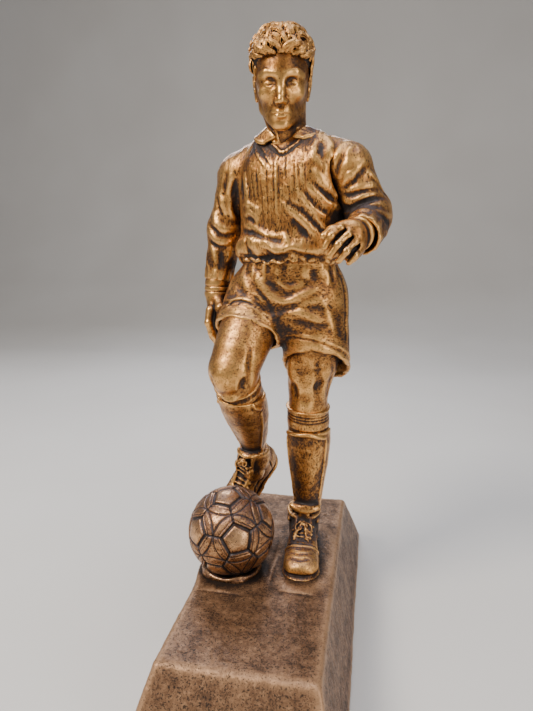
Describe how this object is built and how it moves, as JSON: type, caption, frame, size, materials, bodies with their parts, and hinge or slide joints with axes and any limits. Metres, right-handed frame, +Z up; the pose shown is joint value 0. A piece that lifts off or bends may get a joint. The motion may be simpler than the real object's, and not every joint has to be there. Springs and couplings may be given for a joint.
{
  "type": "figure trophy",
  "caption": "Antique-bronze cast figure of a football player with a ball, standing on a tapered oblong plinth.",
  "frame": {"origin": "centre of the underside of the pad, which the trophy stands on", "axes": "+Z up; the player faces -Y, and the player's left is +X; the plinth is long in Y"},
  "size_m": [0.1167, 0.2534, 0.3551],
  "materials": {
    "plinth_bronze": "satin",
    "ball_bronze": "satin",
    "figure_bronze": "satin",
    "pad_felt": "matte",
    "steel": "satin"
  },
  "bodies": {
    "root": {"ball_seat": "ball_bronze", "base_pad": "pad_felt", "collar": "figure_bronze", "fixing_screws": "steel", "fixing_washers": "steel", "football": "ball_bronze", "head": "figure_bronze", "left_boot": "figure_bronze", "left_hand": "figure_bronze", "left_leg_core": "steel", "left_shin_guard": "figure_bronze", "left_shoulder_dowel": "steel", "left_sleeve": "figure_bronze", "left_sock": "figure_bronze", "left_thigh": "figure_bronze", "left_wrist_dowel": "steel", "neck_dowel": "steel", "plinth": "plinth_bronze", "right_boot": "figure_bronze", "right_hand": "figure_bronze", "right_leg_core": "steel", "right_shin_guard": "figure_bronze", "right_shoulder_dowel": "steel", "right_sleeve": "figure_bronze", "right_sock": "figure_bronze", "right_thigh": "figure_bronze", "right_thigh_dowel": "steel", "right_toe_dowel": "steel", "right_wrist_dowel": "steel", "shirt_torso": "figure_bronze", "shorts": "figure_bronze", "waist_dowel": "steel"}
  },
  "joints": []
}
